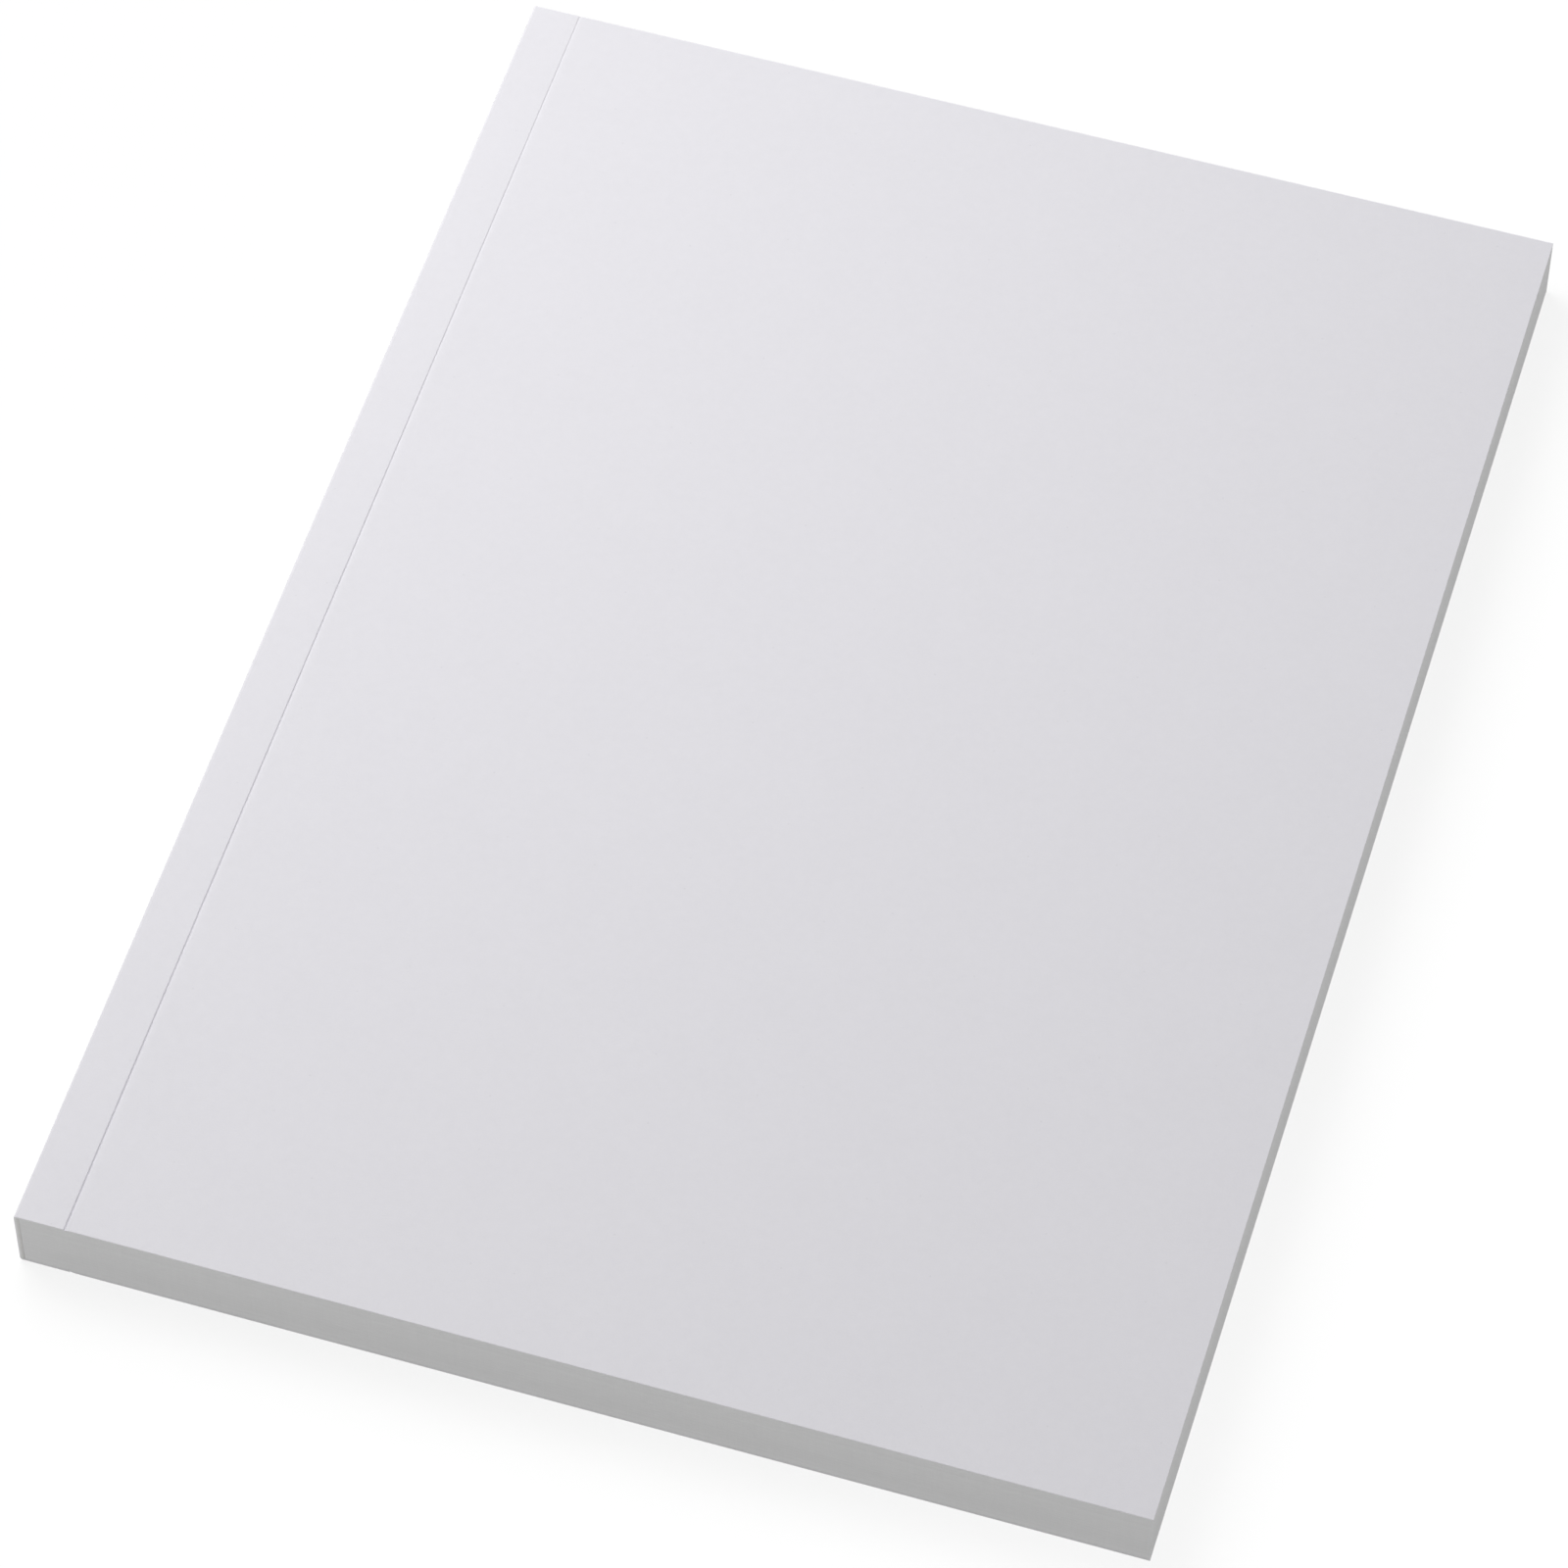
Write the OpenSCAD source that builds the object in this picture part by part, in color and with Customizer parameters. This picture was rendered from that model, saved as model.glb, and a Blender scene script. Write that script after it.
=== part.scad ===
// Softcover notebook: a block of leaves, glued at the spine into one wrapped cover of thin card.
// The spine runs along Y on the -X side, the fore edge is on the +X side, and the closed book lies
// on its back cover at Z = 0, with the middle of its footprint at X = 0, Y = 0.

/* [Book] */
// Width of the closed book, from the outside of the spine to the fore edge
book_w = 148; // [95:1:220]
// Height of the closed book, from the tail to the head
book_h = 210; // [120:1:300]

/* [Pages] */
// Number of leaves in the page block
leaf_count = 96; // [40:4:200]
// Thickness of one leaf
leaf_t = 0.1; // [0.07:0.01:0.15]

/* [Cover] */
// Thickness of the cover card
card_t = 0.3; // [0.2:0.05:0.5]
// Radius on the inside of the two folds at the spine
fold_r = 0.3; // [0.15:0.05:0.4]
// Distance from the outside of the spine to the middle of a hinge crease
hinge_w = 6.6; // [4:0.2:12]
// Width of the groove that a hinge crease presses into the card
crease_w = 0.65; // [0.4:0.05:1]
// Depth of that groove
crease_d = 0.12; // [0.06:0.02:0.16]

/* [Glue] */
// Thickness of the glue along the spine
spine_glue_t = 0.4; // [0.3:0.05:0.8]
// Thickness of the glue film between the first or last leaf and the cover
side_glue_t = 0.05; // [0.03:0.01:0.1]
// Width of bare card between the edge of the side glue and the hinge crease
glue_stop = 0.6; // [0.2:0.1:1.5]

/* [Hidden] */

// Length that a cut runs past the surface it opens
past = 1;
// Number of sides of a full circle
sides = 64;

// Where the spine and the fore edge stand
spine_x = -book_w / 2;
fore_x = book_w / 2;

// Room that a cover panel takes up, its card and the glue film under it
panel_room = card_t + side_glue_t;
// Thickness of the block of leaves, and of the closed book
pages_t = leaf_count * leaf_t;
book_t = pages_t + 2 * panel_room;

// Where the backs of the leaves meet the spine glue
pages_x = spine_x + card_t + spine_glue_t;
// Middle of the hinge creases
crease_x = spine_x + hinge_w;
// Radius of the round groove that has the given width and depth
crease_r = (pow(crease_w / 2, 2) + pow(crease_d, 2)) / (2 * crease_d);
// Width of a strip of side glue
side_glue_w = crease_x - glue_stop - pages_x;

// Colours as the photographed object shows them
card_colour = [0.89, 0.89, 0.91];
paper_colour = [0.93, 0.93, 0.92];
glue_colour = [0.94, 0.92, 0.84];

// A section drawn in X and Z, carried from the tail to the head
module tail_to_head() {
    rotate([90, 0, 0])
        linear_extrude(height = book_h, center = true)
            children();
}

// A rectangle given by its corner nearest the spine and the back cover, and by its size
module panel_section(x, z, w, t) {
    translate([x, z])
        square([w, t]);
}

// The book seen from the tail, drawn in by an inset, with round corners at the spine.
// It runs past the fore edge by the given length.
module book_section(inset, corner_r, beyond) {
    left = spine_x + inset;
    low = inset;
    high = book_t - inset;
    panel_section(left + corner_r, low, fore_x + beyond - left - corner_r, high - low);
    panel_section(left, low + corner_r, 2 * corner_r, high - low - 2 * corner_r);
    for (z = [low + corner_r, high - corner_r])
        translate([left + corner_r, z])
            circle(r = corner_r, $fn = sides);
}

// The space that the wrapped card encloses, open at the fore edge
module inside_section() {
    book_section(card_t, fold_r, past);
}

// The two round grooves of the hinge creases, one on each outer face of the cover
module crease_sections() {
    for (z = [crease_d - crease_r, book_t - crease_d + crease_r])
        translate([crease_x, z])
            circle(r = crease_r, $fn = sides);
}

// A cover panel from its hinge crease to the fore edge, with its outer or inner face at height z
module cover_panel(z) {
    tail_to_head()
        difference() {
            panel_section(crease_x, z, fore_x - crease_x, card_t);
            crease_sections();
        }
}

// A strip of side glue with its underside at height z
module side_glue(z) {
    tail_to_head()
        panel_section(pages_x, z, side_glue_w, side_glue_t);
}

// The leaves, trimmed flush with the cover at the head, tail and fore edge
module page_block() {
    color(paper_colour)
        tail_to_head()
            panel_section(pages_x, panel_room, fore_x - pages_x, pages_t);
}

// The glue between the backs of the leaves and the card, which fills the folds
module spine_glue() {
    color(glue_colour)
        tail_to_head()
            intersection() {
                inside_section();
                panel_section(spine_x, 0, pages_x - spine_x, book_t);
            }
}

// The glue film that holds the first leaf to the cover beside the spine
module front_side_glue() {
    color(glue_colour)
        side_glue(book_t - panel_room);
}

// The glue film that holds the last leaf to the cover beside the spine
module back_side_glue() {
    color(glue_colour)
        side_glue(card_t);
}

// The part of the card that is glued down: the spine and a strip up to each hinge crease
module spine_cover() {
    color(card_colour)
        tail_to_head()
            difference() {
                intersection() {
                    book_section(0, fold_r + card_t, 0);
                    panel_section(spine_x, 0, hinge_w, book_t);
                }
                inside_section();
                crease_sections();
            }
}

// The front panel, which opens at its hinge crease
module front_cover() {
    color(card_colour)
        cover_panel(book_t - card_t);
}

// The back panel, which opens at its hinge crease
module back_cover() {
    color(card_colour)
        cover_panel(0);
}

page_block();
spine_glue();
front_side_glue();
back_side_glue();
spine_cover();
front_cover();
back_cover();
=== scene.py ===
"""Softcover notebook: a card cover wrapped round trimmed leaves, and the glue that holds them."""

import math
import random

import bmesh
import bpy
from bpy.props import FloatProperty, FloatVectorProperty, IntProperty, PointerProperty
from mathutils import Matrix, Vector, noise


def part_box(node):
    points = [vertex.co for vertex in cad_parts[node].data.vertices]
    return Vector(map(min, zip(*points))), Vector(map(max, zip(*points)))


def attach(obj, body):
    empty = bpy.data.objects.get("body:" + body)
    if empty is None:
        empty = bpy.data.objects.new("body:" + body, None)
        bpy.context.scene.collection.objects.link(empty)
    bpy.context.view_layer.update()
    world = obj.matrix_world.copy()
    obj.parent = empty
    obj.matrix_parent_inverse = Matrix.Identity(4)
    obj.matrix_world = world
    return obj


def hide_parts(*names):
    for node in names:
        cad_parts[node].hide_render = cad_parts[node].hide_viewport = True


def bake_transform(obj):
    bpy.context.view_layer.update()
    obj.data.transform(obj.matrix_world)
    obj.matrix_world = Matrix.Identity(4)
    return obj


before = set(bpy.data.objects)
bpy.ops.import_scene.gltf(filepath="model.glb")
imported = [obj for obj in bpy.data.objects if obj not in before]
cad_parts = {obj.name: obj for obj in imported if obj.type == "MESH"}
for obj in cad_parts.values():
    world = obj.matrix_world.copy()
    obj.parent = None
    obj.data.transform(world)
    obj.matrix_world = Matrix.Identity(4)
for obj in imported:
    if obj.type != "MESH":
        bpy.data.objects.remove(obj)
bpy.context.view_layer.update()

bl_info = {
    "name": "Softcover Notebook",
    "version": (1, 0, 0),
    "blender": (4, 5, 0),
    "location": "View3D > Sidebar > Notebook",
    "description": "Makes the cover, leaves, glue and studio of a softcover notebook",
    "category": "Add Mesh",
}

MM = 0.001
X, Y, Z = 0, 1, 2

# Differences that count as none, where points are picked and where the mesh is cut
TINY = 0.001 * MM
CUT_TINY = TINY / 10

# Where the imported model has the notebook's parts
SPINE_LOW, SPINE_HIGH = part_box("spine_cover")
FRONT_LOW, FRONT_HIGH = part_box("front_cover")
BACK_LOW, BACK_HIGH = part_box("back_cover")
LEAVES_LOW, LEAVES_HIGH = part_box("page_block")
GLUE_LOW, GLUE_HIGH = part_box("spine_glue")
CREASE_X = SPINE_HIGH.x
FORE_X = FRONT_HIGH.x
HEAD_Y = FRONT_HIGH.y
BOOK_T = FRONT_HIGH.z
CARD_T = FRONT_HIGH.z - FRONT_LOW.z

# How finely the meshes are cut
RIM_SEGMENTS = 2
FOLD_SEGMENTS = 10
GLUE_SEGMENTS = 6
GLUE_ROWS = 24
GLUE_COLUMNS = 6
CREASE_CUTS = 8
BEND_CUTS = 10
BOOK_ROWS = 48
PANEL_COLUMNS = 10
PANEL_STEPS = (0.6 * MM, 0.7 * MM, 0.85 * MM, 1.0 * MM, 1.3 * MM, 1.7 * MM, 2.5 * MM, 4.0 * MM)
LEAF_COLUMNS = 24
LEAF_ROWS = 34
SMOOTH_ANGLE = math.radians(20)
SQUARE_ANGLE = math.radians(60)
FACING = 0.5

# Unevenness of what is creased, trimmed and glued
CREASE_WAVE, CREASE_WAVE_SHARE = 9 * MM, 0.10
LEAF_WAVE = 12 * MM
GLUE_WAVE = 1 * MM
SIDE_GLUE_WAVE, SIDE_GLUE_STRAY = 4 * MM, 0.3 * MM

# How far a grain is broken up into finer ones, and how strongly these show
FINE_DETAIL, COARSE_DETAIL, NO_DETAIL = 3.0, 2.0, 0.0
EVEN_GRAIN, SHARP_GRAIN = 0.5, 0.6

# Uncoated card: sizes of its grains, the share of the colour that each one changes, and the
# share of the relief that it makes
CLOUD_SIZE, CLOUD_SHARE = 7 * MM, 0.020
MOTTLE_SIZE, MOTTLE_SHARE, MOTTLE_RELIEF = 1.1 * MM, 0.030, 0.3
TOOTH_SIZE, TOOTH_SHARE, TOOTH_RELIEF = 0.22 * MM, 0.035, 0.6
FIBRE_LENGTH, FIBRE_WIDTH, FIBRE_DEPTH, FIBRE_RELIEF = 1.6 * MM, 0.09 * MM, 1000 * MM, 0.3
FIBRE_TURNS = (0.3, 1.4, 2.5)
FIBRE_THRESHOLD = (0.66, 0.74)
SPECK_SPACING, SPECK_REACH, SPECK_SHARE = 15 * MM, 0.009, 0.05
CARD_ROUGHNESS, CARD_ROUGHNESS_RANGE, CARD_IOR = 0.73, 0.10, 1.45
CARD_RELIEF = 0.015 * MM

# Leaf paper: streaks along the leaves, and marks of the knife across them
STREAK_LENGTH, STREAK_WIDTH, STREAK_SHARE = 9 * MM, 0.12 * MM, 0.05
KNIFE_WIDTH, KNIFE_LENGTH, KNIFE_SHARE, KNIFE_RELIEF = 0.35 * MM, 14 * MM, 0.04, 0.3
PAPER_TOOTH_SIZE, PAPER_TOOTH_SHARE, PAPER_TOOTH_RELIEF = 0.15 * MM, 0.03, 0.5
LEAF_SHARE = 0.03
LEAF_ROUGHNESS, LEAF_ROUGHNESS_RANGE = 0.82, 0.08
LEAF_RELIEF = 0.008 * MM

# Hot-melt glue
LUMP_SIZE, LUMP_SHARE, LUMP_RELIEF = 0.8 * MM, 0.16, 0.03 * MM
GLUE_ROUGHNESS, GLUE_ROUGHNESS_RANGE = 0.35, 0.20

# White floor, and the share of a small lamp's light that the wide lamp gives it
FLOOR_REACH, FLOOR_GAP = 3000 * MM, 0.1 * MM
FLOOR_COLOUR, FLOOR_ROUGHNESS = 0.8, 0.9
LAMP_SPREAD = 0.80

# Width of the camera's film, in millimetres
FILM_WIDTH = 36


class CardSettings(bpy.types.PropertyGroup):
    """Sizes and colours of the cover card."""

    colour: FloatVectorProperty(
        name="Card colour",
        description="Colour of the uncoated cover card",
        subtype="COLOR",
        min=0,
        max=1,
        default=(0.80, 0.79, 0.83),
    )
    cut_colour: FloatVectorProperty(
        name="Cut edge colour",
        description="Colour of the card's core, where the knife has cut it",
        subtype="COLOR",
        min=0,
        max=1,
        default=(0.86, 0.86, 0.86),
    )
    fold_radius: FloatProperty(
        name="Fold radius",
        description="Radius on the outside of the two folds at the spine",
        unit="LENGTH",
        default=0.42 * MM,
    )
    crease_depth: FloatProperty(
        name="Crease depth",
        description="Depth of the hinge crease halfway between the head and the tail",
        unit="LENGTH",
        default=0.17 * MM,
    )
    crease_taper: FloatProperty(
        name="Crease taper",
        description="Share by which the crease is deeper at the tail and shallower at the head",
        subtype="FACTOR",
        min=0,
        max=1,
        default=0.45,
    )
    crease_start: FloatProperty(
        name="Crease start",
        description="Distance from the hinge line to the crease's steep wall",
        unit="LENGTH",
        default=0.01 * MM,
    )
    crease_wall: FloatProperty(
        name="Crease wall",
        description="Width of the steep wall on the spine side of the crease",
        unit="LENGTH",
        default=0.20 * MM,
    )
    crease_shoulder: FloatProperty(
        name="Crease shoulder",
        description="Distance over which the panel rises again beyond the crease",
        unit="LENGTH",
        default=0.23 * MM,
    )
    bend_width: FloatProperty(
        name="Bend width",
        description="Width of card beyond the hinge line that bends as a cover opens",
        unit="LENGTH",
        default=0.5 * MM,
    )
    edge_round: FloatProperty(
        name="Edge rounding",
        description="Rounding that the trimming knife leaves on the card's edges",
        unit="LENGTH",
        default=0.03 * MM,
    )


class LeafSettings(bpy.types.PropertyGroup):
    """Sizes and colour of the leaves."""

    colour: FloatVectorProperty(
        name="Paper colour",
        description="Colour of the leaves",
        subtype="COLOR",
        min=0,
        max=1,
        default=(0.82, 0.82, 0.82),
    )
    thickness: FloatProperty(
        name="Leaf thickness",
        description="Thickness of one leaf",
        unit="LENGTH",
        default=0.1 * MM,
    )
    groove: FloatProperty(
        name="Groove between leaves",
        description="Depth of the groove between two leaves at the trimmed edges",
        unit="LENGTH",
        default=0.02 * MM,
    )
    unevenness: FloatProperty(
        name="Unevenness",
        description="Most that a leaf's edge stands back from the trimmed face",
        unit="LENGTH",
        default=0.02 * MM,
    )
    seed: IntProperty(
        name="Seed",
        description="Picks another unevenness of the leaves",
        default=7,
    )


class GlueSettings(bpy.types.PropertyGroup):
    """Sizes and colour of the binding glue."""

    colour: FloatVectorProperty(
        name="Glue colour",
        description="Colour of the hot-melt glue",
        subtype="COLOR",
        min=0,
        max=1,
        default=(0.71, 0.705, 0.69),
    )
    recess: FloatProperty(
        name="Glue recess",
        description="Most that the glue shrinks back from the head and the tail, beside the leaves",
        unit="LENGTH",
        default=0.30 * MM,
    )
    fold_radius: FloatProperty(
        name="Corner radius",
        description="Radius of the glue in the folds of the card",
        unit="LENGTH",
        default=0.12 * MM,
    )


class StudioSettings(bpy.types.PropertyGroup):
    """Lamp, room light, floor and camera."""

    lamp_power: FloatProperty(
        name="Lamp",
        description="Power of the soft lamp above the head and the spine, in watts",
        default=1.58,
    )
    lamp_size: FloatProperty(
        name="Lamp size",
        description="Side of the square lamp",
        unit="LENGTH",
        default=0.4,
    )
    lamp_place: FloatVectorProperty(
        name="Lamp place",
        description="Where the lamp hangs",
        subtype="TRANSLATION",
        unit="LENGTH",
        default=(-0.25, 0.155, 0.42),
    )
    ambient: FloatProperty(
        name="Ambient light",
        description="Strength of the even light from the room",
        default=0.475,
    )
    floor_light: FloatProperty(
        name="Light from below",
        description="Strength of the light that comes up to what lies on the floor",
        default=0.58,
    )
    floor_clearness: FloatProperty(
        name="Floor clearness",
        description="How far a cover that hangs below the floor shows through it",
        subtype="FACTOR",
        min=0,
        max=1,
        default=0.65,
    )
    floor_nearness: FloatProperty(
        name="Floor nearness",
        description="Distance within which the floor lets the light through to what lies on it",
        unit="LENGTH",
        default=4 * MM,
    )
    camera_place: FloatVectorProperty(
        name="Camera place",
        description="Where the camera stands",
        subtype="TRANSLATION",
        unit="LENGTH",
        default=(0.152295, -0.523296, 0.768599),
    )
    camera_aim: FloatVectorProperty(
        name="Camera aim",
        description="Point on the floor that the camera looks at",
        subtype="TRANSLATION",
        unit="LENGTH",
        default=(-0.00307, -0.00648, 0.0),
    )
    camera_roll: FloatProperty(
        name="Camera roll",
        description="Turn of the camera about its line of sight",
        subtype="ANGLE",
        unit="ROTATION",
        default=math.radians(0.262),
    )
    camera_lens: FloatProperty(
        name="Lens",
        description="Focal length of the camera, in millimetres",
        default=162.82,
    )


class Field:
    """A socket's value over a surface. Arithmetic on it adds Math nodes."""

    def __init__(self, nodes, socket):
        self.nodes = nodes
        self.socket = socket

    def math(self, operation, *values):
        """The outcome of a Math node on these values."""
        inputs = dict(enumerate(values))
        return self.nodes.add("ShaderNodeMath", {"operation": operation}, inputs)

    def __add__(self, other):
        return self.math("ADD", self, other)

    def __radd__(self, other):
        return self.math("ADD", other, self)

    def __sub__(self, other):
        return self.math("SUBTRACT", self, other)

    def __rsub__(self, other):
        return self.math("SUBTRACT", other, self)

    def __mul__(self, other):
        return self.math("MULTIPLY", self, other)

    def __rmul__(self, other):
        return self.math("MULTIPLY", other, self)

    def __truediv__(self, other):
        return self.math("DIVIDE", self, other)

    def __abs__(self):
        return self.math("ABSOLUTE", self)

    def above(self, limit):
        """1 where the value is above the limit, and 0 elsewhere."""
        return self.math("GREATER_THAN", self, limit)

    def below(self, limit):
        """1 where the value is below the limit, and 0 elsewhere."""
        return self.math("LESS_THAN", self, limit)

    def larger(self, other):
        """The larger of the two values."""
        return self.math("MAXIMUM", self, other)

    def whole(self):
        """The value rounded down."""
        return self.math("FLOOR", self)

    def rise(self, low, high):
        """0 up to low, 1 from high on, and a smooth rise between them."""
        settings = {"interpolation_type": "SMOOTHSTEP"}
        inputs = {"Value": self, "From Min": low, "From Max": high}
        return self.nodes.add("ShaderNodeMapRange", settings, inputs)

    def about(self, share):
        """The value, from 0 to 1, turned into a change of as much up as down and of a share in all."""
        return (self - 0.5) * share


class Nodes:
    """The nodes of a material or of the world."""

    def __init__(self, owner):
        owner.use_nodes = True
        self.tree = owner.node_tree
        self.tree.nodes.clear()

    def add(self, kind, settings=None, inputs=None, output=0):
        """Adds a node with its settings first and then its values or links, and gives one output."""
        node = self.tree.nodes.new(kind)
        for name, value in (settings or {}).items():
            setattr(node, name, value)
        for name, value in (inputs or {}).items():
            self.feed(node.inputs[name], value)
        return Field(self, node.outputs[output]) if node.outputs else None

    def feed(self, socket, value):
        """Links a field to a socket, or sets the socket to a plain value."""
        if isinstance(value, Field):
            self.tree.links.new(value.socket, socket)
        else:
            socket.default_value = value

    def mixed(self, share, first, second):
        """Two colours mixed by a share, which go in at the Mix node's own colour sockets."""
        colours = {"Factor": share, 6: first, 7: second}
        return self.add("ShaderNodeMix", {"data_type": "RGBA"}, colours, output=2)

    def seen(self):
        """1 for the rays that show the background: to the camera, off gloss and through glass."""
        kinds = ("Is Camera Ray", "Is Glossy Ray", "Is Transmission Ray")
        camera, glossy, transmission = [self.add("ShaderNodeLightPath", output=kind) for kind in kinds]
        return camera.larger(glossy).larger(transmission)


class Finish(Nodes):
    """The nodes of one material, with its Principled shader."""

    def __init__(self, name):
        self.material = bpy.data.materials.new(name)
        super().__init__(self.material)
        self.shader = self.tree.nodes.new("ShaderNodeBsdfPrincipled")
        self.surface = self.tree.nodes.new("ShaderNodeOutputMaterial").inputs["Surface"]
        self.feed(self.surface, Field(self, self.shader.outputs[0]))

    def set(self, **values):
        """Sets the shader's own sockets, named in small letters."""
        for name, value in values.items():
            name = "IOR" if name == "ior" else name.replace("_", " ").title()
            self.feed(self.shader.inputs[name], value)

    def place(self):
        """The place on the surface."""
        return self.add("ShaderNodeTexCoord", output="Object")

    def along(self, axis):
        """The place on the surface along X, Y or Z."""
        return self.add("ShaderNodeSeparateXYZ", inputs={"Vector": self.place()}, output=axis)

    def stretched(self, sizes, turn=0.0):
        """The place on the surface, counted in steps of the given sizes along X, Y and Z."""
        inputs = {"Vector": self.place(), "Rotation": (0, 0, turn), "Scale": sizes}
        return self.add("ShaderNodeMapping", {"vector_type": "TEXTURE"}, inputs)

    def grain(self, sizes, detail=FINE_DETAIL, roughness=EVEN_GRAIN, turn=0.0):
        """Noise from 0 to 1, with the sizes of its grains along X, Y and Z."""
        inputs = {
            "Vector": self.stretched(sizes, turn),
            "Scale": 1.0,
            "Detail": detail,
            "Roughness": roughness,
        }
        return self.add("ShaderNodeTexNoise", {"noise_dimensions": "3D"}, inputs)

    def vector(self, operation, first, second):
        """The outcome of a Vector Math node on two vectors, which is a number for a dot product."""
        output = "Value" if operation == "DOT_PRODUCT" else "Vector"
        inputs = {0: first, 1: second}
        return self.add("ShaderNodeVectorMath", {"operation": operation}, inputs, output)

    def shaded(self, colour, shade):
        """A colour with its brightness multiplied by a shade."""
        inputs = {0: colour, "Scale": shade}
        return self.add("ShaderNodeVectorMath", {"operation": "SCALE"}, inputs)

    def relief(self, height, distance):
        """Raises the surface by a height from 0 to 1, of a real distance, in the shading."""
        inputs = {"Strength": 1.0, "Distance": distance, "Height": height}
        self.set(normal=self.add("ShaderNodeBump", inputs=inputs))


def even(size):
    """The same size along X, Y and Z."""
    return (size, size, size)


def opaque(colour):
    """A colour with its fourth number."""
    return (*colour, 1.0)


def card_finish(card):
    """Uncoated card: cloudy pulp, fine tooth, short fibres, a few specks and paler knife-cut edges."""
    finish = Finish("uncoated_card")
    cloud = finish.grain(even(CLOUD_SIZE))
    mottle = finish.grain(even(MOTTLE_SIZE), detail=COARSE_DETAIL)
    tooth = finish.grain(even(TOOTH_SIZE), roughness=SHARP_GRAIN)
    strand = (FIBRE_LENGTH, FIBRE_WIDTH, FIBRE_DEPTH)
    fibres = 0
    for turn in FIBRE_TURNS:
        fibre = finish.grain(strand, detail=NO_DETAIL, turn=turn)
        fibres = fibres + fibre.rise(*FIBRE_THRESHOLD)
    spots = {"Vector": finish.stretched(even(SPECK_SPACING)), "Scale": 1.0}
    speck = finish.add("ShaderNodeTexVoronoi", {"voronoi_dimensions": "2D"}, spots).below(SPECK_REACH)
    shade = 1.0 + cloud.about(CLOUD_SHARE) + mottle.about(MOTTLE_SHARE)
    shade = shade + tooth.about(TOOTH_SHARE) - speck * SPECK_SHARE
    at_head_or_tail = abs(finish.along("Y")).above(HEAD_Y - TINY)
    cut = at_head_or_tail.larger(finish.along("X").above(FORE_X - TINY))
    colour = finish.mixed(cut, opaque(card.colour), opaque(card.cut_colour))
    finish.set(base_color=finish.shaded(colour, shade))
    finish.set(roughness=CARD_ROUGHNESS + tooth * CARD_ROUGHNESS_RANGE, ior=CARD_IOR)
    height = tooth * TOOTH_RELIEF + mottle * MOTTLE_RELIEF + fibres * FIBRE_RELIEF
    finish.relief(height, CARD_RELIEF)


def leaf_finish(leaf):
    """Trimmed leaves: each leaf a shade of its own, streaks along the leaves and faint knife marks."""
    finish = Finish("leaf_paper")
    number = ((finish.along("Z") - LEAVES_LOW.z) / leaf.thickness).whole()
    own = finish.add("ShaderNodeTexWhiteNoise", {"noise_dimensions": "1D"}, {"W": number})
    streak = finish.grain((STREAK_LENGTH, STREAK_LENGTH, STREAK_WIDTH), detail=COARSE_DETAIL)
    knife = finish.grain((KNIFE_WIDTH, KNIFE_WIDTH, KNIFE_LENGTH))
    tooth = finish.grain(even(PAPER_TOOTH_SIZE))
    shade = 1.0 + own.about(LEAF_SHARE) + streak.about(STREAK_SHARE)
    shade = shade + knife.about(KNIFE_SHARE) + tooth.about(PAPER_TOOTH_SHARE)
    finish.set(base_color=finish.shaded(tuple(leaf.colour), shade))
    finish.set(roughness=LEAF_ROUGHNESS + tooth * LEAF_ROUGHNESS_RANGE)
    finish.relief(tooth * PAPER_TOOTH_RELIEF + knife * KNIFE_RELIEF, LEAF_RELIEF)


def glue_finish(glue):
    """Hot-melt glue: creamy, a little glossy and lumpy."""
    finish = Finish("hot_melt_glue")
    lumps = finish.grain(even(LUMP_SIZE))
    finish.set(base_color=finish.shaded(tuple(glue.colour), 1.0 + lumps.about(LUMP_SHARE)))
    finish.set(roughness=GLUE_ROUGHNESS + lumps * GLUE_ROUGHNESS_RANGE)
    finish.relief(lumps, LUMP_RELIEF)


def floor_finish(studio):
    """White floor, which shows what hangs below it and lets light through from below and close by."""
    finish = Finish("white_floor")
    finish.set(base_color=opaque(even(FLOOR_COLOUR)), roughness=FLOOR_ROUGHNESS)
    seen = finish.seen()
    # The lamp's light on the floor falls off with the distance and with the angles at both ends.
    # What all the light together leaves short of white is added where the floor is seen.
    lamp_place = Vector(studio.lamp_place)
    to_lamp = finish.vector("SUBTRACT", tuple(lamp_place), finish.place())
    square = finish.vector("DOT_PRODUCT", to_lamp, to_lamp)
    facing = finish.vector("DOT_PRODUCT", to_lamp, tuple(lamp_place.normalized())).larger(0.0)
    from_lamp = LAMP_SPREAD * studio.lamp_power * lamp_place.z / math.pi ** 2 * facing / (square * square)
    missing = 1.0 - FLOOR_COLOUR * (studio.ambient + from_lamp)
    finish.set(emission_color=finish.shaded(even(1.0), seen * missing), emission_strength=1.0)
    from_below = finish.add("ShaderNodeNewGeometry", output="Backfacing")
    from_near = finish.add("ShaderNodeLightPath", output="Ray Length").below(studio.floor_nearness)
    clearness = from_below.larger(from_near).larger(seen * studio.floor_clearness)
    clear = finish.add("ShaderNodeBsdfTransparent")
    shader = Field(finish, finish.shader.outputs[0])
    inputs = {0: clearness, 1: shader, 2: clear}
    finish.feed(finish.surface, finish.add("ShaderNodeMixShader", inputs=inputs))


def box_mesh(low, high):
    """A box between two corners."""
    bm = bmesh.new()
    place = Matrix.Translation((low + high) / 2)
    bmesh.ops.create_cube(bm, size=1, matrix=place @ Matrix.Diagonal((*(high - low), 1)))
    return bm


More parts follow.
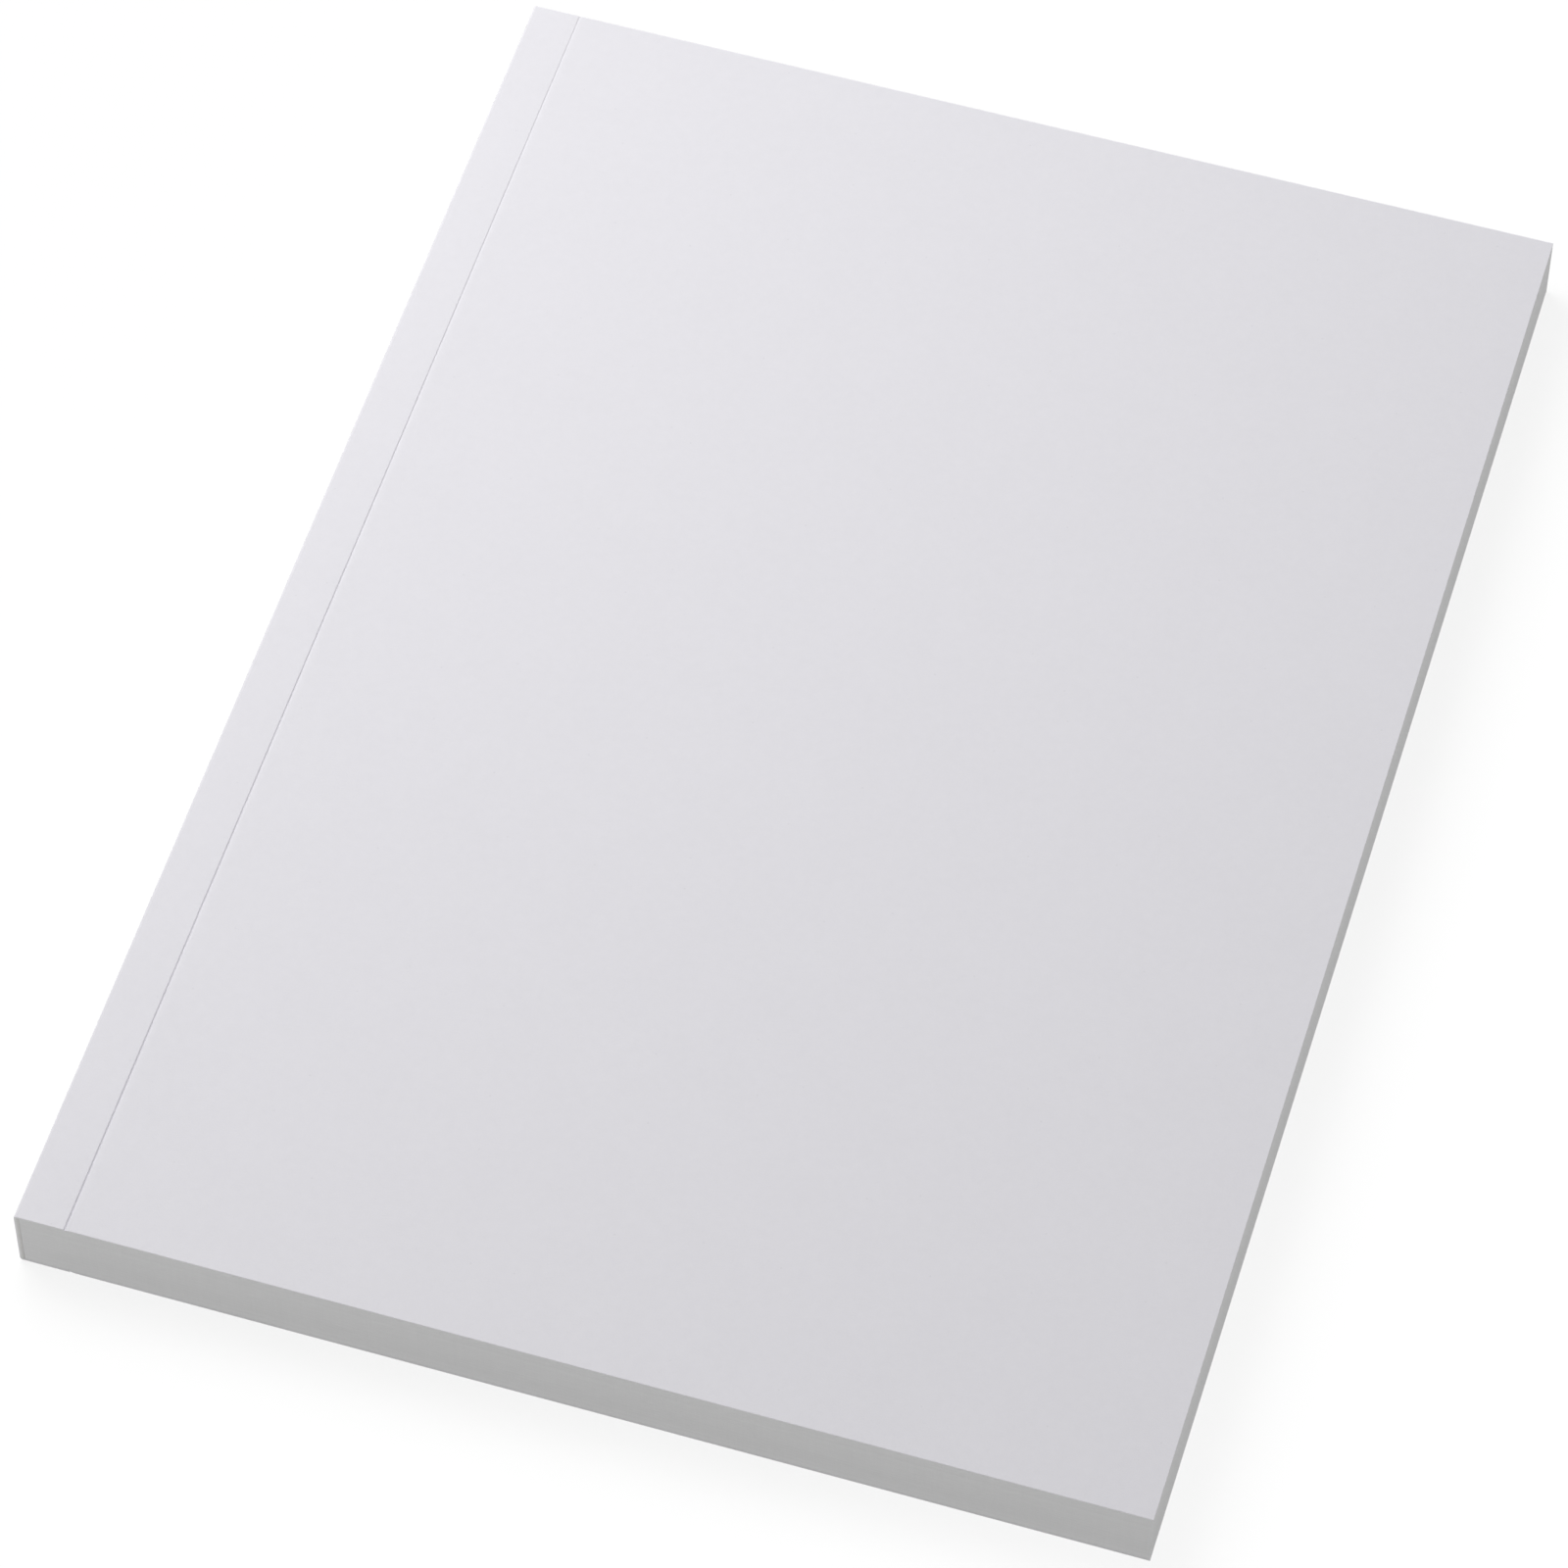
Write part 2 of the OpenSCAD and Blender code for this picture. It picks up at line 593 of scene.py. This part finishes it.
def cut_loops(bm, axis, places):
    """Cuts a loop round the mesh at each place along an axis."""
    for place in places:
        point = Vector((0, 0, 0))
        point[axis] = place
        normal = Vector((0, 0, 0))
        normal[axis] = 1
        everything = bm.verts[:] + bm.edges[:] + bm.faces[:]
        bmesh.ops.bisect_plane(bm, geom=everything, dist=CUT_TINY, plane_co=point, plane_no=normal)


def soften(bm, edges, offset, segments):
    """Rounds edges of the mesh."""
    bmesh.ops.bevel(
        bm,
        geom=edges,
        offset=offset,
        offset_type="OFFSET",
        affect="EDGES",
        segments=segments,
        profile=0.5,
        material=-1,
        clamp_overlap=True,
    )


def steps(low, high, count):
    """Places that part a stretch into equal steps, without its ends."""
    return [low + (high - low) * i / count for i in range(1, count)]


def make_piece(name, bm, finish):
    """Turns a mesh into a finished piece at the origin."""
    bmesh.ops.recalc_face_normals(bm, faces=bm.faces)
    mesh = bpy.data.meshes.new(name)
    bm.to_mesh(mesh)
    bm.free()
    mesh.shade_smooth()
    mesh.set_sharp_from_angle(angle=SMOOTH_ANGLE)
    mesh.materials.append(bpy.data.materials[finish])
    piece = bpy.data.objects.new(name, mesh)
    bpy.context.scene.collection.objects.link(piece)
    return piece


def wave(size, *place):
    """Gentle unevenness from -1 to 1, whose waves have a size."""
    return noise.noise(Vector(place) / size)


def stand_back(vert, axis, distance):
    """Moves a point towards the middle of the book."""
    vert.co[axis] -= math.copysign(distance, vert.co[axis])


def trimmed_edges(bm):
    """The square edges where the knife has trimmed the card."""
    found = []
    for edge in bm.edges:
        at_head_or_tail = all(abs(v.co.y) > HEAD_Y - TINY for v in edge.verts)
        at_fore_edge = all(v.co.x > FORE_X - TINY for v in edge.verts)
        at_crease = all(abs(v.co.x - CREASE_X) < TINY for v in edge.verts)
        square = edge.calc_face_angle(0) > SQUARE_ANGLE
        if (at_head_or_tail or at_fore_edge) and square and not at_crease:
            found.append(edge)
    return found


def press_creases(bm, card):
    """Presses the hinge crease in from outside: a steep wall by the spine, a soft shoulder beyond."""
    for vert in bm.verts:
        in_front = vert.co.z > BOOK_T / 2
        from_inside = vert.co.z - (BOOK_T - CARD_T) if in_front else CARD_T - vert.co.z
        away = vert.co.x - CREASE_X - card.crease_start
        down = min(max(away / card.crease_wall, 0.0), 1.0)
        beyond = max(away - card.crease_wall, 0.0)
        share = down * down * (3 - 2 * down) * math.exp(-beyond / card.crease_shoulder)
        share *= 1 - card.crease_taper * vert.co.y / HEAD_Y
        share *= 1 + CREASE_WAVE_SHARE * wave(CREASE_WAVE, vert.co.y, in_front * BOOK_T, 0)
        depth = card.crease_depth * share * from_inside / CARD_T
        vert.co.z += -depth if in_front else depth


class NOTEBOOK_OT_finishes(bpy.types.Operator):
    """Makes the finishes of the card, the leaves, the glue and the floor"""

    bl_idname = "notebook.finishes"
    bl_label = "Finishes"

    def execute(self, context):
        card_finish(context.scene.notebook_card)
        leaf_finish(context.scene.notebook_leaf)
        glue_finish(context.scene.notebook_glue)
        floor_finish(context.scene.notebook_studio)
        return {"FINISHED"}


class NOTEBOOK_OT_spine_cover(bpy.types.Operator):
    """Folds the card round the spine, up to the hinge creases"""

    bl_idname = "notebook.spine_cover"
    bl_label = "Spine of the cover"

    def execute(self, context):
        card = context.scene.notebook_card
        bm = box_mesh(SPINE_LOW, SPINE_HIGH)
        bm.normal_update()
        openings = [f for f in bm.faces if abs(f.normal.y) > FACING or f.normal.x > FACING]
        bmesh.ops.delete(bm, geom=openings, context="FACES")
        folds = [e for e in bm.edges if len(e.link_faces) == 2]
        soften(bm, folds, card.fold_radius, FOLD_SEGMENTS)
        bmesh.ops.solidify(bm, geom=bm.faces[:], thickness=CARD_T)
        soften(bm, trimmed_edges(bm), card.edge_round, RIM_SEGMENTS)
        cut_loops(bm, Y, steps(-HEAD_Y, HEAD_Y, BOOK_ROWS))
        piece = make_piece("card_spine", bm, "uncoated_card")
        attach(piece, "block")
        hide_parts("spine_cover")
        return {"FINISHED"}


class NOTEBOOK_OT_cover_panels(bpy.types.Operator):
    """Makes the front and back panels, each cut finely beyond its hinge crease, where the card would bend
    as a cover opens
    """

    bl_idname = "notebook.cover_panels"
    bl_label = "Cover panels"

    def panel(self, card, name, low, high):
        """Makes one panel, cut finely where the card is creased and where it bends."""
        bm = box_mesh(low, high)
        soften(bm, trimmed_edges(bm), card.edge_round, RIM_SEGMENTS)
        top = CREASE_X + card.crease_start
        foot = top + card.crease_wall
        bend_end = CREASE_X + card.bend_width
        cut_loops(bm, X, [top, *steps(top, foot, CREASE_CUTS), foot])
        cut_loops(bm, X, [*steps(foot, bend_end, BEND_CUTS), bend_end])
        cut_loops(bm, X, [CREASE_X + step for step in PANEL_STEPS])
        cut_loops(bm, X, steps(CREASE_X + PANEL_STEPS[-1], FORE_X, PANEL_COLUMNS))
        cut_loops(bm, Y, steps(-HEAD_Y, HEAD_Y, BOOK_ROWS))
        press_creases(bm, card)
        piece = make_piece(name, bm, "uncoated_card")
        return piece

    def execute(self, context):
        card = context.scene.notebook_card
        front = self.panel(card, "card_front", FRONT_LOW, FRONT_HIGH)
        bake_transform(front)
        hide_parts("front_cover")
        back = self.panel(card, "card_back", BACK_LOW, BACK_HIGH)
        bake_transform(back)
        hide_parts("back_cover")
        return {"FINISHED"}


class NOTEBOOK_OT_leaves(bpy.types.Operator):
    """Makes the block of leaves, each with its own slightly uneven trimmed edge"""

    bl_idname = "notebook.leaves"
    bl_label = "Leaves"

    def execute(self, context):
        leaf = context.scene.notebook_leaf
        chance = random.Random(leaf.seed)
        count = round((LEAVES_HIGH.z - LEAVES_LOW.z) / leaf.thickness)
        own = [chance.random() for _ in range(count)]
        bm = box_mesh(LEAVES_LOW, LEAVES_HIGH)
        cut_loops(bm, Z, steps(LEAVES_LOW.z, LEAVES_HIGH.z, 2 * count))
        cut_loops(bm, X, steps(LEAVES_LOW.x, LEAVES_HIGH.x, LEAF_COLUMNS))
        cut_loops(bm, Y, steps(LEAVES_LOW.y, LEAVES_HIGH.y, LEAF_ROWS))
        # Even levels are the grooves between leaves, and odd ones the middles of the leaves
        for vert in bm.verts:
            level = round(2 * (vert.co.z - LEAVES_LOW.z) / leaf.thickness)
            back = leaf.unevenness / 2 + leaf.groove
            if level % 2:
                bow = (1 + wave(LEAF_WAVE, vert.co.x, vert.co.y, level * LEAF_WAVE)) / 2
                back = leaf.unevenness * (own[level // 2] + bow) / 2
            if vert.co.x > LEAVES_HIGH.x - TINY:
                vert.co.x -= back
            if abs(vert.co.y) > LEAVES_HIGH.y - TINY:
                stand_back(vert, Y, back)
        piece = make_piece("leaf_block", bm, "leaf_paper")
        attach(piece, "block")
        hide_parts("page_block")
        return {"FINISHED"}


class NOTEBOOK_OT_glue(bpy.types.Operator):
    """Makes the glue along the spine and the two strips of side glue"""

    bl_idname = "notebook.glue"
    bl_label = "Glue"

    def strip(self, name, bm, node):
        """Turns a mesh into the glue that stands for a node."""
        piece = make_piece(name, bm, "hot_melt_glue")
        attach(piece, "block")
        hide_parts(node)

    def spine_glue(self, glue):
        """Makes the glue along the spine, which shrinks back most beside the leaves."""
        bm = box_mesh(GLUE_LOW, GLUE_HIGH)
        at_spine = [e for e in bm.edges if all(v.co.x < GLUE_LOW.x + TINY for v in e.verts)]
        corners = [e for e in at_spine if abs(e.verts[0].co.y - e.verts[1].co.y) > HEAD_Y]
        soften(bm, corners, glue.fold_radius, GLUE_SEGMENTS)
        cut_loops(bm, X, steps(GLUE_LOW.x, GLUE_HIGH.x, GLUE_COLUMNS))
        cut_loops(bm, Z, steps(GLUE_LOW.z, GLUE_HIGH.z, GLUE_ROWS))
        for vert in bm.verts:
            if abs(vert.co.y) > HEAD_Y - TINY:
                share = (vert.co.x - GLUE_LOW.x) / (GLUE_HIGH.x - GLUE_LOW.x)
                uneven = (2 + wave(GLUE_WAVE, *vert.co)) / 3
                stand_back(vert, Y, glue.recess * share * share * uneven)
        self.strip("glue_spine", bm, "spine_glue")

    def side_glue(self, glue, name, node):
        """Makes a strip of side glue, with a wavy edge towards the crease."""
        low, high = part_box(node)
        bm = box_mesh(low, high)
        cut_loops(bm, Y, steps(-HEAD_Y, HEAD_Y, BOOK_ROWS))
        for vert in bm.verts:
            if vert.co.x > high.x - TINY:
                vert.co.x -= SIDE_GLUE_STRAY * (1 + wave(SIDE_GLUE_WAVE, vert.co.y, low.z, 0))
            if abs(vert.co.y) > HEAD_Y - TINY:
                stand_back(vert, Y, glue.recess / 2)
        self.strip(name, bm, node)

    def execute(self, context):
        glue = context.scene.notebook_glue
        self.spine_glue(glue)
        self.side_glue(glue, "glue_front_side", "front_side_glue")
        self.side_glue(glue, "glue_back_side", "back_side_glue")
        return {"FINISHED"}


class NOTEBOOK_OT_stage(bpy.types.Operator):
    """Sets the white floor, the lamp, the room light and the camera"""

    bl_idname = "notebook.stage"
    bl_label = "Stage"

    def floor(self):
        """Lays the floor just under the book."""
        bm = bmesh.new()
        under = Matrix.Translation((0, 0, -FLOOR_GAP))
        bmesh.ops.create_grid(bm, x_segments=1, y_segments=1, size=FLOOR_REACH, matrix=under)
        floor = make_piece("floor", bm, "white_floor")

    def lamp(self, studio):
        """Hangs the soft square lamp, which faces the middle of the book."""
        data = bpy.data.lights.new("lamp", "AREA")
        data.size = studio.lamp_size
        data.energy = studio.lamp_power
        lamp = bpy.data.objects.new("lamp", data)
        lamp.location = studio.lamp_place
        lamp.rotation_euler = Vector(studio.lamp_place).to_track_quat("Z", "Y").to_euler()
        bpy.context.scene.collection.objects.link(lamp)

    def room(self, studio):
        """Sets the room's light, which is even but for more from below, and white where it is seen."""
        world = bpy.data.worlds.new("room")
        room = Nodes(world)
        direction = room.add("ShaderNodeTexCoord", output="Generated")
        height = room.add("ShaderNodeSeparateXYZ", inputs={"Vector": direction}, output=Z)
        level = studio.ambient + height.below(0.0) * (studio.floor_light - studio.ambient)
        strength = level + room.seen() * (1.0 - level)
        inputs = {"Color": opaque(even(1)), "Strength": strength}
        light = room.add("ShaderNodeBackground", inputs=inputs)
        room.add("ShaderNodeOutputWorld", inputs={"Surface": light})
        bpy.context.scene.world = world

    def camera(self, studio):
        """Sets the camera, which looks down on the book past the corner of its tail and fore edge."""
        data = bpy.data.cameras.new("camera")
        data.sensor_width = FILM_WIDTH
        data.lens = studio.camera_lens
        camera = bpy.data.objects.new("camera", data)
        place = Vector(studio.camera_place)
        look = (place - Vector(studio.camera_aim)).to_track_quat("Z", "Y").to_matrix()
        turn = Matrix.Rotation(studio.camera_roll, 3, "Z")
        camera.matrix_world = Matrix.Translation(place) @ (look @ turn).to_4x4()
        bpy.context.scene.collection.objects.link(camera)
        bpy.context.scene.camera = camera

    def execute(self, context):
        studio = context.scene.notebook_studio
        self.floor()
        self.lamp(studio)
        self.room(studio)
        self.camera(studio)
        context.scene.view_settings.view_transform = "Standard"
        return {"FINISHED"}


SETTINGS = {
    "notebook_card": CardSettings,
    "notebook_leaf": LeafSettings,
    "notebook_glue": GlueSettings,
    "notebook_studio": StudioSettings,
}
STEPS = (
    NOTEBOOK_OT_finishes,
    NOTEBOOK_OT_spine_cover,
    NOTEBOOK_OT_cover_panels,
    NOTEBOOK_OT_leaves,
    NOTEBOOK_OT_glue,
    NOTEBOOK_OT_stage,
)


class NOTEBOOK_PT_maker(bpy.types.Panel):
    """Lists the notebook's settings and the steps that make it"""

    bl_idname = "NOTEBOOK_PT_maker"
    bl_label = "Softcover Notebook"
    bl_space_type = "VIEW_3D"
    bl_region_type = "UI"
    bl_category = "Notebook"

    def draw(self, context):
        for name, group in SETTINGS.items():
            box = self.layout.box()
            for setting in group.__annotations__:
                box.prop(getattr(context.scene, name), setting)
        for step in STEPS:
            self.layout.operator(step.bl_idname)


CLASSES = (*SETTINGS.values(), *STEPS, NOTEBOOK_PT_maker)


def register():
    """Registers the settings, the steps and the panel."""
    for item in CLASSES:
        bpy.utils.register_class(item)
    for name, group in SETTINGS.items():
        setattr(bpy.types.Scene, name, PointerProperty(type=group))


def unregister():
    """Takes the settings, the steps and the panel out again."""
    for name in SETTINGS:
        delattr(bpy.types.Scene, name)
    for item in reversed(CLASSES):
        bpy.utils.unregister_class(item)


def main():
    """Makes the notebook and its stage."""
    register()
    bpy.ops.notebook.finishes()
    bpy.ops.notebook.spine_cover()
    bpy.ops.notebook.cover_panels()
    bpy.ops.notebook.leaves()
    bpy.ops.notebook.glue()
    bpy.ops.notebook.stage()


if __name__ == "__main__":
    main()
